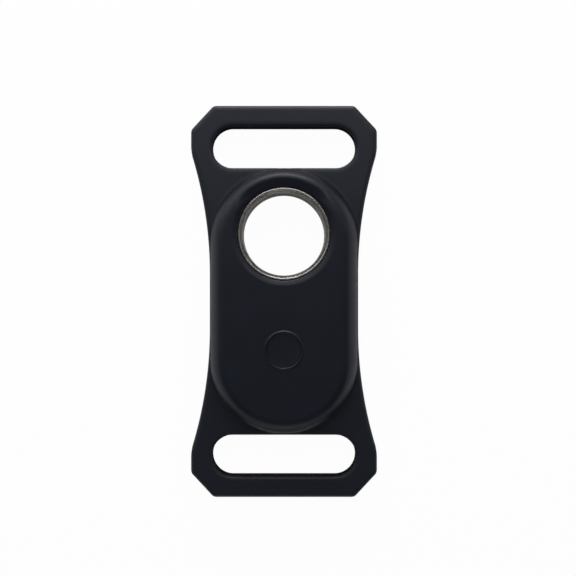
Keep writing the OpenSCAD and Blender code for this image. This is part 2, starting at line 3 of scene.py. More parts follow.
import bmesh
import bpy
import numpy as np
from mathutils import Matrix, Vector


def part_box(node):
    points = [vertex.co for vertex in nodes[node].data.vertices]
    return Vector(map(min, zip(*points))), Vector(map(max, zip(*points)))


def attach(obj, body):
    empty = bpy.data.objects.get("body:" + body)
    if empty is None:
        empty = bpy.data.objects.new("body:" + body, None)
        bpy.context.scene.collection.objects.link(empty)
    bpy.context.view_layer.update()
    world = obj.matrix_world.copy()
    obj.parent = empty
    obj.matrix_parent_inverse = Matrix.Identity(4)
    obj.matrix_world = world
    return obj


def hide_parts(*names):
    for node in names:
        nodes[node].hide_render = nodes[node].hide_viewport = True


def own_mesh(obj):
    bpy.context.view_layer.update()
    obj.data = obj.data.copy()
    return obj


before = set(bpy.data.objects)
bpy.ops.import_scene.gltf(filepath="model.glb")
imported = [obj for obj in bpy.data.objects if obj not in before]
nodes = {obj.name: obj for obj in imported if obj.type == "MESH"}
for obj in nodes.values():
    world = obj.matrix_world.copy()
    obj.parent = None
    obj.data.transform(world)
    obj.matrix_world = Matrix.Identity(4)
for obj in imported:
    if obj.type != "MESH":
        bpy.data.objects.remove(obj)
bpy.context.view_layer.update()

mm = 0.001
perMetre = 1000  # millimetres to a metre
tiny = 1e-9  # keeps a division from zero
print("frame loaded:", len(nodes), "solids")


# Shapes as distance fields: negative inside, zero on the surface, all in millimetres

uncut = -9.0  # a field that takes nothing away


def roundMax(a, b, radius):  # what two fields share, its edge rounded
    beyond = np.hypot(np.maximum(a + radius, 0), np.maximum(b + radius, 0))
    return np.minimum(np.maximum(a, b), -radius) + beyond


def roundMin(a, b, radius):  # two fields joined, their corner filled with a cove
    return -roundMax(-a, -b, radius)


def stadium(across, along, run, radius):  # a straight run between two half circles
    return np.hypot(across, np.maximum(np.abs(along) - run, 0)) - radius


def shoulder(side, top, width, depth, core=0.05):  # what two fields share, its edge a quarter of an ellipse
    u = np.maximum(side + width, 0) / width
    v = np.maximum(top + depth, 0) / depth
    reach = np.hypot(u, v)
    slope = np.hypot(u / width, v / depth) / np.maximum(reach, tiny)
    return np.where(reach > core, (reach - 1) / np.maximum(slope, tiny), np.maximum(side, top))


def smooth(value, low, high):
    share = np.clip((value - low) / (high - low), 0, 1)
    return share * share * (3 - 2 * share)


def middleOf(node, axis):
    low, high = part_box(node)
    return (low[axis] + high[axis]) / 2 / mm


def sizeOf(node, axis):
    low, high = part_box(node)
    return (high[axis] - low[axis]) / mm


sleeveShape = {
    "frameWidth": sizeOf("holder_sleeve", 0), "frameLength": sizeOf("holder_sleeve", 1), "frameDepth": 4.0,
    "cornerAcross": 4.8, "cornerAlong": 5.15, "planRound": 0.4,
    "waist": 31.54, "hollowRadius": 86.0, "hollowRun": 5.75,
    "frontEdge": 0.95, "backEdge": 0.4,
    "slotY": 32.655, "slotRun": 10.85, "slotRadius": 4.35,
    "slotEdgeWidth": 1.1, "slotEdgeDepth": 0.32, "slotRound": 0.15,
    "domeRadius": 15.48, "domeRun": 12.465, "domeShift": 0.16, "domeFront": 10.2,
    "shoulderWidth": 3.4, "shoulderDepth": 6.1,
    "cove": 0.15, "coveLeast": 0.02, "coveShare": 0.3,
    "tagRun": 11.805, "pocketRadius": 14.48, "pocketBack": 0.82, "pocketFront": 8.98,
    "pocketEdge": 1.88, "pocketRound": 0.12, "openingRadius": 12.88,
    "middle": 5.0,  # the back's opening is cut below this height, the hole and the pad's bore above it
    "holeY": middleOf("ring_liner", 1), "holeRadius": 9.68, "holeEdge": 0.08,
    "crestRadius": 12.68, "crestDrop": 0.04, "crestRound": 0.3,
    "slantTilt": 15.5, "slantLift": 2.2, "slantFullShare": 0.8,
    "bevelTilt": 42.0, "bevelFoot": (9.8, 9.3), "bevelRound": (0.45, 0.15),  # button's side, ring's end
    "padY": middleOf("press_pad", 1), "padBore": 3.54, "boreRound": 0.05,
    "lineRadius": 3.805, "lineHalf": 0.225, "lineHeight": 0.2, "lineRound": 0.1, "lineLow": 7.0,
    "footRadius": 4.31, "footFront": 9.33, "footRound": 0.1,
    "cell": 0.33,
    "holeZone": (11.4, 8.7), "holeCuts": 1,  # radius and least height of the zone with smaller cells
    "lineZone": (4.5, 9.85), "lineCuts": 3,
}


def sleeveField(p):
    s = sleeveShape
    x, y, z = p[:, 0], p[:, 1], p[:, 2]
    ax, ay = np.abs(x), np.abs(y)
    front, depth = z - s["frameDepth"], -z

    # Outline of the flat frame: cut corners and hollow sides
    norm = math.hypot(s["cornerAcross"], s["cornerAlong"])
    nx, ny = s["cornerAlong"] / norm, s["cornerAcross"] / norm
    reach = nx * s["frameWidth"] / 2 + ny * (s["frameLength"] / 2 - s["cornerAlong"])
    hollow = -stadium(ax - s["waist"] / 2 - s["hollowRadius"], ay, s["hollowRun"], s["hollowRadius"])
    outline = roundMax(ax - s["frameWidth"] / 2, nx * ax + ny * ay - reach, s["planRound"])
    outline = roundMax(outline, ay - s["frameLength"] / 2, s["planRound"])
    outline = roundMax(outline, hollow, s["planRound"])
    slot = -stadium(ay - s["slotY"], ax, s["slotRun"], s["slotRadius"])

    # Its thickness, with soft edges
    plate = np.maximum(roundMax(outline, front, s["frontEdge"]),
                       shoulder(slot, front, s["slotEdgeWidth"], s["slotEdgeDepth"]))
    plate = np.maximum(plate, roundMax(outline, depth, s["backEdge"]))
    plate = np.maximum(plate, roundMax(slot, depth, s["backEdge"]))

    # Dome over the tag: a tall round shoulder, and a cove at its foot that dies out at the waist
    side = stadium(x, y - s["domeShift"], s["domeRun"], s["domeRadius"])
    top = z - s["domeFront"]
    dome = shoulder(side, top, s["shoulderWidth"], s["shoulderDepth"])
    dome = roundMax(dome, s["backEdge"] - z, s["backEdge"])
    cove = np.clip(-s["coveShare"] * outline, s["coveLeast"], s["cove"])
    body = roundMax(roundMin(plate, dome, cove), slot, s["slotRound"])

    # Pocket, open at the back behind a lip
    pocket = stadium(x, y, s["tagRun"], s["pocketRadius"])
    pocket = roundMax(pocket, z - s["pocketFront"], s["pocketEdge"])
    pocket = roundMax(pocket, s["pocketBack"] - z, s["pocketEdge"])
    opening = stadium(x, y, s["tagRun"], s["openingRadius"])
    lip = np.where(z < s["middle"], roundMax(-opening, depth, s["backEdge"]), uncut)
    body = roundMax(np.maximum(body, lip), -pocket, s["pocketRound"])

    # Round hole over the ring; above it the dome slants down to the ring from a crest
    out = np.hypot(x, y - s["holeY"])
    above = smooth((y - s["holeY"]) / np.maximum(out, tiny), 0.0, s["slantFullShare"])
    tilt = math.radians(s["slantTilt"])
    slant = top + s["crestDrop"] - (out - s["crestRadius"]) * math.tan(tilt) - (1 - above) * s["slantLift"]
    body = np.where(z > s["middle"], roundMax(body, slant * math.cos(tilt), s["crestRound"]), body)
    foot, soft = ((1 - above) * low + above * high for low, high in (s["bevelFoot"], s["bevelRound"]))
    tilt = math.radians(s["bevelTilt"])
    bevel = (z - foot) * math.cos(tilt) - (out - s["holeRadius"]) * math.sin(tilt)
    holed = roundMax(roundMax(body, bevel, soft), s["holeRadius"] - out, s["holeEdge"])
    body = np.where(z > s["middle"], holed, body)

    # Raised line round the press pad, the pad's bore, and the seat of its foot
    out = np.hypot(x, y - s["padY"])
    line = np.hypot((out - s["lineRadius"]) / s["lineHalf"], top / s["lineHeight"])
    line = s["lineHeight"] * (line - 1)
    body = np.where(z > s["lineLow"], roundMin(body, line, s["lineRound"]), body)
    bore = np.where(z > s["middle"], s["padBore"] - out, uncut)
    seat = -roundMax(out - s["footRadius"], z - s["footFront"], s["footRound"])
    seat = np.where(z > s["middle"], seat, uncut)
    return np.maximum(roundMax(body, bore, s["boreRound"]), seat)


def slopeOf(field, p, step=0.004):
    out = np.empty_like(p)
    for axis in range(3):
        move = np.zeros(3)
        move[axis] = step
        out[:, axis] = (field(p + move) - field(p - move)) / (2 * step)
    return out


def ontoSurface(field, p, times, limit, leastSlope=0.05):
    for _ in range(times):
        value, slope = field(p), slopeOf(field, p)
        step = -value / np.maximum((slope ** 2).sum(1), leastSlope)
        move = slope * step[:, None]
        size = np.linalg.norm(move, axis=1)
        p = p + move * np.minimum(1, limit / np.maximum(size, tiny))[:, None]
    return p


def evened(field, p, edges, times, pace=0.5, limit=0.1):  # slides the points until they lie evenly
    count = np.bincount(edges.ravel(), minlength=len(p))[:, None]
    for _ in range(times):
        total = np.empty_like(p)
        for axis in range(3):
            total[:, axis] = (np.bincount(edges[:, 0], p[edges[:, 1], axis], len(p))
                              + np.bincount(edges[:, 1], p[edges[:, 0], axis], len(p)))
        slope = slopeOf(field, p)
        slope /= np.maximum(np.linalg.norm(slope, axis=1), tiny)[:, None]
        move = total / np.maximum(count, 1) - p
        move -= slope * (move * slope).sum(1)[:, None]
        p = ontoSurface(field, p + pace * move, 1, limit)
    return p


def readPoints(mesh):
    p = np.empty(len(mesh.vertices) * 3)
    mesh.vertices.foreach_get("co", p)
    return p.reshape(-1, 3) / mm


def readEdges(mesh):
    e = np.empty(len(mesh.edges) * 2, np.int32)
    mesh.edges.foreach_get("vertices", e)
    return e.reshape(-1, 2)


settling = {"coarse": ((4, 0.25), 6, (3, 0.1)), "fine": ((3, 0.1), 3, (3, 0.05))}


def settle(mesh, field, first, evenings, last):  # first, last: how many steps, and the longest one
    p = ontoSurface(field, readPoints(mesh), *first)
    p = evened(field, p, readEdges(mesh), evenings)
    p = ontoSurface(field, p, *last)
    mesh.vertices.foreach_set("co", (p * mm).ravel())


def within(centreY, radius, low):  # picks the points round an upright axis, above a height
    return lambda p: (np.hypot(p[:, 0], p[:, 1] - centreY) < radius) & (p[:, 2] > low)


def mouldedFrom(node, name, field, cell, finer):
    piece = bpy.data.objects.new(name, nodes[node].data.copy())
    bpy.context.scene.collection.objects.link(piece)
    remesh = piece.modifiers.new("even cells", "REMESH")
    remesh.mode, remesh.voxel_size = "VOXEL", cell * mm
    evaluated = piece.evaluated_get(bpy.context.evaluated_depsgraph_get())
    mesh = bpy.data.meshes.new_from_object(evaluated)
    piece.modifiers.clear()
    piece.data = mesh
    mesh.materials.clear()
    settle(mesh, field, *settling["coarse"])

    # Smaller cells where the shape is fine
    for inside, cuts in finer:
        near = inside(readPoints(mesh))
        bm = bmesh.new()
        bm.from_mesh(mesh)
        bm.verts.ensure_lookup_table()
        picked = [e for e in bm.edges if near[e.verts[0].index] and near[e.verts[1].index]]
        bmesh.ops.subdivide_edges(bm, edges=picked, cuts=cuts, use_grid_fill=True)
        bm.to_mesh(mesh)
        bm.free()
        settle(mesh, field, *settling["fine"])
    mesh.shade_smooth()
    print(name, "moulded:", len(mesh.polygons), "faces")
    return piece


nearHole = within(sleeveShape["holeY"], *sleeveShape["holeZone"])
nearLine = within(sleeveShape["padY"], *sleeveShape["lineZone"])
sleeve = mouldedFrom("holder_sleeve", "sleeve_moulding", sleeveField, sleeveShape["cell"],
                     [(nearHole, sleeveShape["holeCuts"]), (nearLine, sleeveShape["lineCuts"])])
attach(sleeve, "sleeve")
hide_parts("holder_sleeve")


# Turned pieces

def bend(r, z, wide, start, end, steps, tall=None):  # points of a rounded edge, angles in degrees
    angles = [math.radians(start + (end - start) * i / steps) for i in range(steps + 1)]
    return [(r + wide * math.cos(a), z + (tall or wide) * math.sin(a)) for a in angles]


def lathe(name, profile, centre, steps, closed, sharpFrom=38):
    bm = bmesh.new()
    angles = [2 * math.pi * i / steps for i in range(steps)]

    def loopOf(r, z):  # one point where the profile meets the axis
        places = [(centre[0] + r * math.cos(t), centre[1] + r * math.sin(t)) for t in (angles if r else [0])]
        return [bm.verts.new((x * mm, y * mm, z * mm)) for x, y in places]

    loops = [loopOf(r, z) for r, z in profile]
    pairs = list(zip(loops, loops[1:])) + ([(loops[-1], loops[0])] if closed else [])
    for lower, upper in pairs:
        for i in range(steps):
            j = (i + 1) % steps
            corners = [lower[i % len(lower)], lower[j % len(lower)],
                       upper[j % len(upper)], upper[i % len(upper)]]
            bm.faces.new([v for k, v in enumerate(corners) if v not in corners[:k]])
    bmesh.ops.recalc_face_normals(bm, faces=bm.faces)
    mesh = bpy.data.meshes.new(name)
    bm.to_mesh(mesh)
    bm.free()
    mesh.shade_smooth()
    mesh.set_sharp_from_angle(angle=math.radians(sharpFrom))
    piece = bpy.data.objects.new(name, mesh)
    bpy.context.scene.collection.objects.link(piece)
    print(name, "turned:", len(mesh.polygons), "faces")
    return piece


padShape = {
    "y": middleOf("press_pad", 1), "radius": 3.525, "front": 10.2, "edge": 0.05, "steps": 128,
    "dish": 0.06, "dishPower": 5, "dishRings": 24,
    "footRadius": 4.25, "footBack": 8.92, "footFront": 9.28, "footEdge": 0.06,
}


def pressPad():
    s = padShape
    rim, corner = s["radius"] - s["edge"], s["footRadius"] - s["footEdge"]
    profile = [(0, s["footBack"])] + bend(corner, s["footBack"] + s["footEdge"], s["footEdge"], -90, 0, 3)
    profile += bend(corner, s["footFront"] - s["footEdge"], s["footEdge"], 0, 90, 3)
    profile += [(s["radius"], s["footFront"])] + bend(rim, s["front"] - s["edge"], s["edge"], 0, 90, 4)[:-1]
    for i in range(s["dishRings"] + 1):  # a shallow dish, nearly flat in the middle
        share = 1 - i / s["dishRings"]
        profile.append((rim * share, s["front"] - s["dish"] * (1 - share ** s["dishPower"])))
    return lathe("press_pad_moulding", profile, (0, s["y"]), s["steps"], False)


pad = pressPad()
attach(pad, "pad")
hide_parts("press_pad")

ringShape = {
    "y": middleOf("ring_liner", 1), "bore": 8.6, "tube": 9.0, "lip": 9.6, "steps": 224,
    "back": 0.9, "chamfer": 0.2, "lipBack": 8.3, "front": 8.95, "round": 0.2,
    "mouthWidth": 0.64, "mouthDepth": 0.95, "mouthTilt": 58.0, "mouthRound": 0.12, "mouthFoot": 0.4,
}


def ringLiner():
    s = ringShape
    profile = [(s["bore"], s["back"] + s["chamfer"]), (s["bore"] + s["chamfer"], s["back"]),
               (s["tube"], s["back"]), (s["tube"], s["lipBack"]), (s["lip"], s["lipBack"])]
    profile += bend(s["lip"] - s["round"], s["front"] - s["round"], s["round"], 0, 90, 8)
    tilt = 90 + s["mouthTilt"]
    profile += bend(s["bore"] + s["mouthWidth"], s["front"] - s["mouthRound"], s["mouthRound"], 90, tilt, 8)
    profile += bend(s["bore"] + s["mouthFoot"], s["front"] - s["mouthDepth"], s["mouthFoot"], tilt, 180, 6)
    return lathe("ring_liner_turned", profile, (0, s["y"]), s["steps"], True)


ring = ringLiner()
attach(ring, "tag")
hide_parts("ring_liner")

domeShape = {
    "foot": sizeOf("switch_dome", 0) / 2, "rise": sizeOf("switch_dome", 2), "sheet": 0.08, "steps": 64,
    "pressed": 0.2,  # share of its height that is left when the button is down
}


def snapDome():  # the switch's sprung dome, which the button's stem presses flat
    s = domeShape
    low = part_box("switch_dome")[0].z / mm
    under = bend(0, low, s["foot"] - s["sheet"], 90, 0, 10, s["rise"] - s["sheet"])
    over = bend(0, low, s["foot"], 0, 90, 10, s["rise"])
    under[0], over[-1] = (0, under[0][1]), (0, over[-1][1])
    return lathe("snap_dome_pressed", under + over, (0, padShape["y"]), s["steps"], False)


dome = snapDome()
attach(dome, "tag")
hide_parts("switch_dome")
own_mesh(dome)


# Shader maths

class Signal:  # one output of a finish's nodes, used in plain sums
    def __init__(self, finish, socket):
        self.finish, self.socket = finish, socket

    def sum(self, operation, *values):
        return self.finish.add("ShaderNodeMath", {"operation": operation}, dict(enumerate(values)))

    def __add__(self, other):
        return self.sum("ADD", self, other)

    def __sub__(self, other):
        return self.sum("SUBTRACT", self, other)

    def __rsub__(self, other):
        return self.sum("SUBTRACT", other, self)

    def __mul__(self, other):
        return self.sum("MULTIPLY", self, other)

    def __truediv__(self, other):
        return self.sum("DIVIDE", self, other)

    def __rtruediv__(self, other):
        return self.sum("DIVIDE", other, self)

    def __pow__(self, other):
        return self.sum("POWER", self, other)

    def __rpow__(self, other):
        return self.sum("POWER", other, self)

    def __gt__(self, other):
        return self.sum("GREATER_THAN", self, other)

    def __lt__(self, other):
        return self.sum("LESS_THAN", self, other)

    def __abs__(self):
        return self.sum("ABSOLUTE", self)

    __radd__, __rmul__ = __add__, __mul__

    def most(self, other):
        return self.sum("MAXIMUM", self, other)

    def step(self, low, high):  # 0 below low, 1 above high, smooth between
        return self.finish.add("ShaderNodeMapRange", {"interpolation_type": "SMOOTHSTEP"},
                               {"Value": self, "From Min": low, "From Max": high})


class Finish:
    space = "Object"

    def __init__(self, name, **sockets):
        self.material = self.owner(name)
        self.material.use_nodes = True
        self.tree = self.material.node_tree
        self.shader = next(n for n in self.tree.nodes if n.type in ("BSDF_PRINCIPLED", "BACKGROUND"))
        self.feed(self.shader, sockets)
        self.place = self.add("ShaderNodeTexCoord", output=self.space)

    def owner(self, name):
        return bpy.data.materials.new(name)

    def feed(self, node, inputs):
        for key, value in inputs.items():
            socket = node.inputs[key.replace("_", " ") if isinstance(key, str) else key]
            if isinstance(value, Signal):
                self.tree.links.new(value.socket, socket)
            elif socket.type == "RGBA":
                socket.default_value = (*value, 1)
            else:
                socket.default_value = value

    def add(self, kind, settings=None, inputs=None, output=0):
        node = self.tree.nodes.new(kind)
        for key, value in (settings or {}).items():
            setattr(node, key, value)
        self.feed(node, inputs or {})
        return Signal(self, node.outputs[output])

    def noise(self, size, detail=2, rough=0.5, place=None):  # size of its patches in millimetres
        return self.add("ShaderNodeTexNoise", None, {"Vector": place or self.place, "Scale": perMetre / size,
                                                     "Detail": detail, "Roughness": rough})

    def cracks(self, size):  # distance from the lines between cells, as a share of a cell
        return self.add("ShaderNodeTexVoronoi", {"feature": "DISTANCE_TO_EDGE"},
                        {"Vector": self.place, "Scale": perMetre / size}, "Distance")

    def mix(self, factor, a, b):  # two colours
        return self.add("ShaderNodeMix", {"data_type": "RGBA"}, {0: factor, 6: a, 7: b}, 2)

    def split(self, vector):
        node = self.add("ShaderNodeSeparateXYZ", None, {0: vector}).socket.node
        return [Signal(self, node.outputs[i]) for i in range(3)]

    def axes(self, centre=(0, 0)):  # x, y and z in millimetres from a centre, in plan
        moved = self.add("ShaderNodeVectorMath", {"operation": "SUBTRACT"},
                         {0: self.place, 1: (centre[0] * mm, centre[1] * mm, 0)})
        return [value * perMetre for value in self.split(moved)]

    def level(self):  # 1 where the surface lies flat, 0 where it stands upright
        return abs(self.split(self.add("ShaderNodeTexCoord", output="Normal"))[2])

    def surface(self, height=None, **inputs):  # what changes over the surface
        if height is not None:
            inputs["Normal"] = self.add("ShaderNodeBump", None,
                                        {"Height": height, "Strength": 1.0, "Distance": mm})
        self.feed(self.shader, inputs)
        return self.material

    def other(self, **sockets):  # a second shader
        return self.add("ShaderNodeBsdfPrincipled", None, sockets)

    def blend(self, factor, second):  # the first shader, and the second where the factor is 1
        first = Signal(self, self.shader.outputs[0])
        both = self.add("ShaderNodeMixShader", None, {0: factor, 1: first, 2: second})
        self.tree.links.new(both.socket, self.tree.nodes["Material Output"].inputs["Surface"])
        return self.material


# Finishes

siliconeLook = {
    "domeTones": ((0.0020, 0.0034, 0.0094), (0.0027, 0.0043, 0.0118)),
    # painted light: the flat frame's tones are lighter than the dome's, standing in for light on the frame
    "litFrameTones": ((0.0054, 0.0080, 0.0146), (0.0064, 0.0091, 0.0170)),
    "litFrameFade": (4.2, 5.4),  # heights between which the frame's painted lighter tone turns into the dome's
    # the wall tone is a darker tone painted as shade on the steep walls and in the fold at the dome's foot
    "roughness": 0.40, "wallShadeTone": (0.0022, 0.0030, 0.0060), "wallRoughness": 0.85,
    "wallShadeLevel": (0.05, 0.3), "wallShadeTop": (3.2, 4.4),
    "foldShadeShare": 0.5, "foldShadeInner": (0.1, 1.2), "foldShadeOuter": (-0.7, -0.1), "foldShadeRise": (3.3, 3.9),
    "foldShadeAlong": (8, 15),
}


def siliconeFinish():
    s, look = sleeveShape, siliconeLook
    f = Finish("black silicone", IOR=1.41, Specular_IOR_Level=0.38)
    x, y, z = f.axes()
    cloud = f.noise(9, 3)
    patch = cloud.step(0.3, 0.7)
    # painted light: the frame below the dome gets a lighter tone than the dome, though both are the same
    # silicone
    litFrameTone, domeTone = f.mix(patch, *look["litFrameTones"]), f.mix(patch, *look["domeTones"])
    tone = f.mix(z.step(*look["litFrameFade"]), litFrameTone, domeTone)
    f.surface(Base_Color=tone, Roughness=look["roughness"] + 0.07 * cloud + 0.06 * f.noise(1.3),
              height=0.0035 * f.noise(0.28, 3, 0.6) + 0.01 * f.noise(3.1))

    # Painted shade: the steep walls of the flat frame, and the fold at the dome's foot, turn matt and take a
    # darker tone
    wallShade = (1 - f.level().step(*look["wallShadeLevel"])) * (1 - z.step(*look["wallShadeTop"]))
    beyond = (abs(y - s["domeShift"]) - s["domeRun"]).most(0)
    inward = s["domeRadius"] - (x * x + beyond * beyond) ** 0.5
    # painted shade in the crease where the dome meets the frame, towards the ring's end
    foldShade = (1 - inward.step(*look["foldShadeInner"])) * inward.step(*look["foldShadeOuter"])
    foldShade = foldShade * z.step(*look["foldShadeRise"]) * y.step(*look["foldShadeAlong"])
    # the matt shader is rougher, and its darker tone is painted shade
    mattShade = f.other(Base_Color=look["wallShadeTone"], Roughness=look["wallRoughness"], Specular_IOR_Level=0.06)
    return f.blend(wallShade.most(look["foldShadeShare"] * foldShade), mattShade)


def shellFinish(name, tone, roughness):  # fine grain of the mould on dark plastic
    f = Finish(name, IOR=1.49)
    colour = f.mix(f.noise(6, 2), [v * 0.85 for v in tone], [v * 1.15 for v in tone])
    return f.surface(Base_Color=colour, Roughness=roughness + 0.1 * f.noise(2.2),
                     height=0.006 * f.noise(0.16, 4, 0.65))


def turnedFinish(name, tone, roughness, centre, lines, depth, drift=0.01):  # turning marks round an axis
    f = Finish(name, Metallic=1.0)
    x, y, z = f.axes(centre)
    out = (x * x + y * y) ** 0.5
    across = f.add("ShaderNodeCombineXYZ", None, {0: out * mm, 1: z * mm, 2: x * (drift * mm)})
    marks = f.noise(lines, 2, 0.6, across)
    wipe = f.noise(2.4, 3)
    colour = f.mix(wipe, [v * 0.9 for v in tone], tone)
    return f.surface(Base_Color=colour, Roughness=roughness + 0.1 * wipe + 0.08 * marks, height=depth * marks)


def metalFinish(name, tone, roughness, stretch=(1, 1, 1), size=0.2, depth=0.001):  # brushed or plated sheet
    f = Finish(name, Metallic=1.0)
    place = f.add("ShaderNodeVectorMath", {"operation": "MULTIPLY"}, {0: f.place, 1: stretch})
    brush = f.noise(size, 3, 0.6, place)
    colour = f.mix(f.noise(1.5), [v * 0.86 for v in tone], tone)
    return f.surface(Base_Color=colour, Roughness=roughness + 0.16 * brush, height=depth * brush)


def sealFinish(name, tone):
    f = Finish(name, IOR=1.42)
    fleck = f.noise(0.5, 3)
    colour = f.mix(fleck, [v * 0.8 for v in tone], tone)
    return f.surface(Base_Color=colour, Roughness=0.5 + 0.12 * fleck, height=0.004 * f.noise(0.3, 3))


boardLook = {
    "trackPitch": 0.62, "trackShare": 0.13, "viaPitch": 2.48, "viaShare": 0.075, "block": 3.4,
    "mask": ((0.006, 0.034, 0.018), (0.009, 0.045, 0.024)), "track": (0.02, 0.1, 0.05),
    "gold": (0.75, 0.55, 0.22), "core": (0.34, 0.28, 0.13),
}


def boardFinish():  # solder mask over blocks of tracks, plated holes, bare laminate at the edge
    look = boardLook
    f = Finish("circuit board", IOR=1.5)
    x, y, _ = f.axes()
    side = f.level() < 0.5

    def saw(value, pitch):
        return abs(value.sum("FRACT", value / pitch) - 0.5)

    along, across = saw(x, look["trackPitch"]), saw(y, look["trackPitch"])
    block = f.noise(look["block"], 0) > 0.5
    track = (along < look["trackShare"]) * block + (across < look["trackShare"]) * (1 - block)
    via = (saw(x, look["viaPitch"]) ** 2 + saw(y, look["viaPitch"]) ** 2) ** 0.5 < look["viaShare"]
    colour = f.mix(track * 0.7, f.mix(f.noise(2.5), *look["mask"]), look["track"])
    colour = f.mix(side, f.mix(via, colour, look["gold"]), look["core"])
    return f.surface(Base_Color=colour, Roughness=0.32 + 0.25 * side + 0.08 * f.noise(1),
                     Metallic=via * (1 - side), height=0.02 * track * (1 - side))


chipLook = {"dotInset": 0.5, "dotRadius": 0.17, "dot": (0.05, 0.05, 0.05),
            "epoxy": ((0.014, 0.014, 0.015), (0.022, 0.022, 0.023))}


def chipFinish(name, node):  # moulded epoxy with a dimple at the first pin
    look = chipLook
    low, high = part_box(node)
    f = Finish(name, IOR=1.55)
    x, y, _ = f.axes((low.x / mm + look["dotInset"], high.y / mm - look["dotInset"]))
    dot = (x * x + y * y) ** 0.5 < look["dotRadius"]
    grain = f.noise(0.12, 3)
    colour = f.mix(dot, f.mix(grain, *look["epoxy"]), look["dot"])
    return f.surface(Base_Color=colour, Roughness=0.62 - 0.25 * dot, height=0.003 * grain - 0.02 * dot)


crystalLook = {"bodyHeight": 0.16, "body": (0.33, 0.27, 0.2), "lid": (0.72, 0.71, 0.68)}


def crystalFinish():
    look = crystalLook
    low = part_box("clock_crystals")[0]
    f = Finish("crystal lid and body", IOR=1.6)
    lid = f.axes()[2] > low.z / mm + look["bodyHeight"]
    return f.surface(Base_Color=f.mix(lid, look["body"], look["lid"]), Metallic=lid,
                     Roughness=0.55 - 0.25 * lid + 0.1 * f.noise(0.2))


passiveLook = {"ringRadius": 7.1, "spacing": math.radians(30), "bodyHalf": 0.27,
               "ceramic": ((0.2, 0.13, 0.08), (0.3, 0.2, 0.12)), "tin": (0.7, 0.7, 0.69)}


def passiveFinish():  # they stand in a ring, each with a tin end on either side of its middle
    look = passiveLook
    f = Finish("ceramic with tin ends", IOR=1.6)
    x, y, _ = f.axes((0, padShape["y"]))
    turn = y.sum("ARCTAN2", y, x) / look["spacing"]
    off = turn - turn.sum("ROUND", turn)
    ends = abs(off * (look["spacing"] * look["ringRadius"])) > look["bodyHalf"]
    grain = f.noise(0.15, 3)
    colour = f.mix(ends, f.mix(grain, *look["ceramic"]), look["tin"])
    return f.surface(Base_Color=colour, Roughness=0.5 - 0.12 * ends + 0.1 * grain, Metallic=ends)


coilLook = {"filmHeight": 0.09, "film": ((0.3, 0.11, 0.015), (0.42, 0.17, 0.03)),
            "copper": (0.82, 0.42, 0.24)}


def coilFinish():
    look = coilLook
    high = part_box("reader_coil")[1]
    f = Finish("copper tracks on amber film", IOR=1.5)
    copper = f.axes()[2] < high.z / mm - look["filmHeight"]
    cloud = f.noise(1.5, 3)
    colour = f.mix(copper, f.mix(cloud, *look["film"]), look["copper"])
    return f.surface(Base_Color=colour, Roughness=0.34 + 0.1 * cloud, Metallic=copper)


def ferriteFinish():
    f = Finish("ferrite", IOR=1.7)
    crack = f.cracks(1.6)
    colour = f.mix(crack.step(0.0, 0.05), (0.008, 0.008, 0.008), (0.035, 0.033, 0.034))
    return f.surface(Base_Color=colour, Roughness=0.42 + 0.15 * f.noise(0.6, 3),
                     height=0.01 * crack.step(0, 0.06))


stackLook = {"layerHalf": 0.12, "electrode": ((0.02, 0.02, 0.021), (0.06, 0.06, 0.062)),
             "layer": (0.62, 0.61, 0.58)}


def stackFinish():
    look = stackLook
    f = Finish("electrodes and separator", IOR=1.5)
    layer = abs(f.axes()[2] - middleOf("cell_stack", 2)) < look["layerHalf"]
    grain = f.noise(0.2, 4)
    colour = f.mix(layer, f.mix(grain, *look["electrode"]), look["layer"])
    return f.surface(Base_Color=colour, Roughness=0.6 + 0.2 * grain, height=0.01 * grain)


def dress(finish, *names):
    for name in names:
        mesh = nodes[name].data if name in nodes else bpy.data.objects[name].data
        mesh.materials.clear()
        mesh.materials.append(finish)


dress(siliconeFinish(), "sleeve_moulding", "press_pad_moulding")
for piece, name, tone, roughness in (
        ("tag_front_cover", "front cover plastic", (0.014, 0.0145, 0.016), 0.46),
        ("tag_rear_cover", "rear cover plastic", (0.016, 0.0165, 0.018), 0.5),
        ("battery_tray", "tray plastic", (0.02, 0.0205, 0.022), 0.44),
        ("button_cap", "button plastic", (0.018, 0.0185, 0.02), 0.38),
        ("sounder_case", "sounder plastic", (0.024, 0.024, 0.026), 0.52),
        ("antenna_carrier", "antenna carrier plastic", (0.06, 0.062, 0.068), 0.55),
        ("switch_body", "switch plastic", (0.03, 0.031, 0.033), 0.4)):
    dress(shellFinish(name, tone, roughness), piece)
dress(sealFinish("grey gasket", (0.13, 0.135, 0.145)), "housing_gasket")
dress(sealFinish("brick red seal", (0.2, 0.055, 0.035)), "button_seal", "tray_seal")
dress(sealFinish("cell gasket nylon", (0.66, 0.63, 0.56)), "cell_gasket")

cellCentre = (middleOf("cell_can", 0), middleOf("cell_can", 1))
dress(turnedFinish("dark ring steel", (0.5, 0.482, 0.462), 0.17, (0, ringShape["y"]), 0.07, 0.0006),
      "ring_liner_turned")
dress(turnedFinish("nickel-plated can", (0.72, 0.72, 0.71), 0.2, cellCentre, 0.09, 0.001), "cell_can")
dress(turnedFinish("nickel-plated cap", (0.76, 0.76, 0.75), 0.24, cellCentre, 0.06, 0.001), "cell_cap")
dress(stackFinish(), "cell_stack")
dress(metalFinish("gold-plated spring", (0.86, 0.66, 0.34), 0.2, (1, 3, 1)),
      "positive_contact", "negative_contact", "sounder_contacts")
dress(metalFinish("laser-plated antenna", (0.85, 0.63, 0.36), 0.34, size=0.12, depth=0.004),
      *(name for name in nodes if name.endswith("_antenna")))
dress(metalFinish("brass diaphragm", (0.8, 0.62, 0.3), 0.22, (0.2, 1, 1)), "sounder_diaphragm")
dress(metalFinish("snap dome steel", (0.75, 0.75, 0.74), 0.18), "snap_dome_pressed")
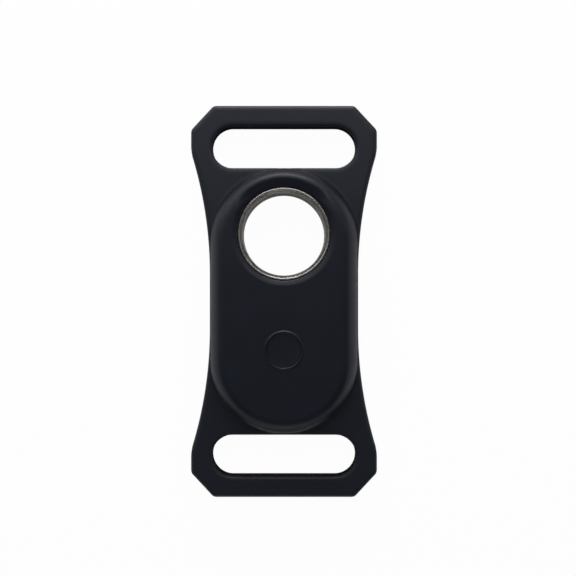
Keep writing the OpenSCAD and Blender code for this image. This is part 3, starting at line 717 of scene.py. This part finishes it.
dress(metalFinish("tin-plated can", (0.7, 0.71, 0.71), 0.28, (0.08, 1, 1), 0.1), "shield_can")
dress(boardFinish(), "main_board")
for number, chip in enumerate(name for name in nodes if name.endswith("_chip")):
    dress(chipFinish("chip epoxy " + str(number + 1), chip), chip)
dress(crystalFinish(), "clock_crystals")
dress(passiveFinish(), "board_passives")
dress(coilFinish(), "reader_coil")
dress(ferriteFinish(), "ferrite_sheet")
print("finishes made:", len(bpy.data.materials))


# Studio: camera straight above and a little off centre, soft lamps, white paper

studio = {
    "cameraX": 0.85, "cameraY": 2.85, "cameraHeight": 199.0, "lens": 57.6, "sensor": 36, "clip": (0.005, 20),
    "horizon": 1.0, "ceiling": 0.04, "bandLow": 0.03, "bandHigh": 0.18,
    "paper": 0.9, "paperGlow": 0.97, "paintedShadowReach": (4, 62), "paperReach": 3000, "paperDrop": 0.02,
    "lampReach": 500, "lampSize": (330, 150),
}
cameraData = bpy.data.cameras.new("camera")
cameraData.lens, cameraData.sensor_width = studio["lens"], studio["sensor"]
cameraData.clip_start, cameraData.clip_end = studio["clip"]
camera = bpy.data.objects.new("camera", cameraData)
camera.location = [studio[k] * mm for k in ("cameraX", "cameraY", "cameraHeight")]
bpy.context.scene.collection.objects.link(camera)
bpy.context.scene.camera = camera
bpy.context.scene.view_settings.view_transform = "Standard"

lamps = {  # degrees clockwise from the ring's end, degrees above the table, glow (1 is white paper's)
    "far strip": (0, 11, 11.7),
    "far left strip": (-45, 11, 2.6),
    "near left strip": (-135, 11, 0.5),
    "near strip": (180, 11, 1.4),
    "right strip": (90, 11, 0.5),
    "left window": (-60, 32, 1.8),
    "right window": (60, 32, 1.2),
    "low left window": (-24, 46, 2.1),
    "low right window": (24, 46, 1.8),
    "window": (0, 62, 3.1),
    "near window": (180, 76, 0.38),
    "near low window": (180, 48, 0.5),
    "left fill": (-90, 52, 0.45),
    "right fill": (90, 52, 0.4),
}
for name, (turn, height, glow) in lamps.items():
    data = bpy.data.lights.new(name, "AREA")
    data.shape = "RECTANGLE"
    data.size, data.size_y = (v * mm for v in studio["lampSize"])
    data.energy = glow * math.pi * data.size * data.size_y
    light = bpy.data.objects.new(name, data)
    turn, height = math.radians(turn), math.radians(height)
    aim = Vector((math.sin(turn) * math.cos(height), math.cos(turn) * math.cos(height), math.sin(height)))
    light.location = aim * studio["lampReach"] * mm
    light.rotation_mode = "QUATERNION"
    light.rotation_quaternion = (-light.location).to_track_quat("-Z", "Y")
    light.visible_camera = False
    bpy.context.scene.collection.objects.link(light)
print("lamps placed:", len(lamps))


class Room(Finish):  # the world's nodes
    space = "Generated"

    def owner(self, name):
        bpy.context.scene.world = bpy.data.worlds.new(name)
        return bpy.context.scene.world


def litWorld():  # a white band round the horizon under a dim ceiling
    f = Room("studio", Color=(1, 1, 1))
    band = 1 - f.split(f.place)[2].step(studio["bandLow"], studio["bandHigh"])
    f.feed(f.shader, {"Strength": studio["ceiling"] + band * (studio["horizon"] - studio["ceiling"])})


litWorld()


def paperFinish():  # white to the eye; in mirrored light it is white only beyond a painted shadow round the frame's outline
    f = Finish("white paper", Base_Color=(studio["paper"],) * 3, Roughness=0.8)
    x, y, _ = f.axes()
    across = (abs(x) - sleeveShape["frameWidth"] / 2).most(0)
    along = (abs(y) - sleeveShape["frameLength"] / 2).most(0)
    # painted shadow: mirrored rays see no glow within the shadow reach of the frame's outline
    lit = ((across * across + along * along) ** 0.5).step(*studio["paintedShadowReach"])
    ray = {name: f.add("ShaderNodeLightPath", output="Is " + name + " Ray")
           for name in ("Camera", "Glossy", "Transmission")}
    seen = ray["Camera"].most(ray["Glossy"].most(ray["Transmission"]) * lit)
    glow = f.add("ShaderNodeEmission", None, {"Color": (1, 1, 1), "Strength": 1.0})
    return f.blend(seen * studio["paperGlow"], glow)


reach, drop = studio["paperReach"] * mm, studio["paperDrop"] * mm
floorMesh = bpy.data.meshes.new("floor")
floorMesh.from_pydata([(x * reach, y * reach, -drop) for x, y in ((-1, -1), (1, -1), (1, 1), (-1, 1))],
                      [], [(0, 1, 2, 3)])
floor = bpy.data.objects.new("floor", floorMesh)
bpy.context.scene.collection.objects.link(floor)
floorMesh.materials.append(paperFinish())
